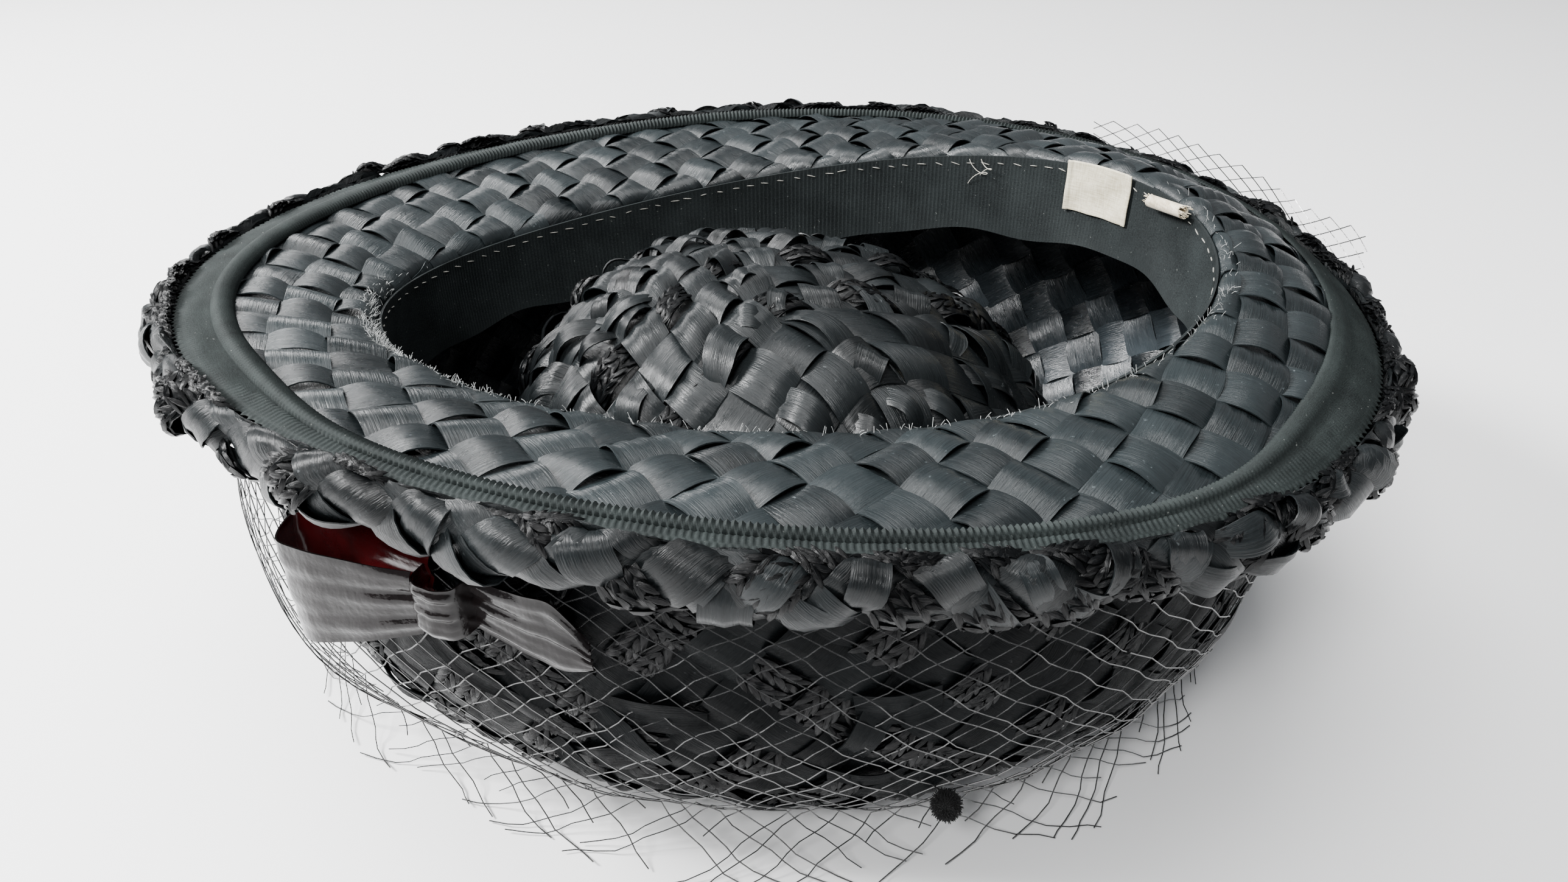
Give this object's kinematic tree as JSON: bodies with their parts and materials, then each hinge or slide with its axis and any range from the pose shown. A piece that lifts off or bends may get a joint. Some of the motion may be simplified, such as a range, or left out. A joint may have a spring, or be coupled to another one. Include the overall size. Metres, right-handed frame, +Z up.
{
  "type": "pillbox hat",
  "caption": "Oval plaited raffia hat resting upside down on its pushed-in crown, with a woven under-brim, ribbon-covered edge, sweatband, side bow and coarse net veil.",
  "frame": {"origin": "on the surface that the hat rests on, below the middle of its bounding box", "axes": "+X along the brim's longer way, to the right as the picture shows it; +Y away from the picture's viewer; +Z up, out of the head opening"},
  "size_m": [0.2884, 0.2564, 0.1085],
  "materials": {
    "raffia": "satin",
    "facing_raffia": "satin",
    "braid": "satin",
    "edge_grosgrain": "matte",
    "band_grosgrain": "matte",
    "label_cloth": "satin",
    "tag_cloth": "matte",
    "bow_ribbon": "gloss",
    "net": "satin",
    "chenille": "matte"
  },
  "bodies": {
    "root": {"crown": "raffia", "under_brim": "facing_raffia", "brim_edge": "braid", "edge_ribbon": "edge_grosgrain", "sweatband": "band_grosgrain", "label": "label_cloth", "size_tag": "tag_cloth", "bow_loop": "bow_ribbon", "bow_knot": "bow_ribbon", "bow_tail": "bow_ribbon", "veil": "net", "veil_dot": "chenille"}
  },
  "joints": []
}
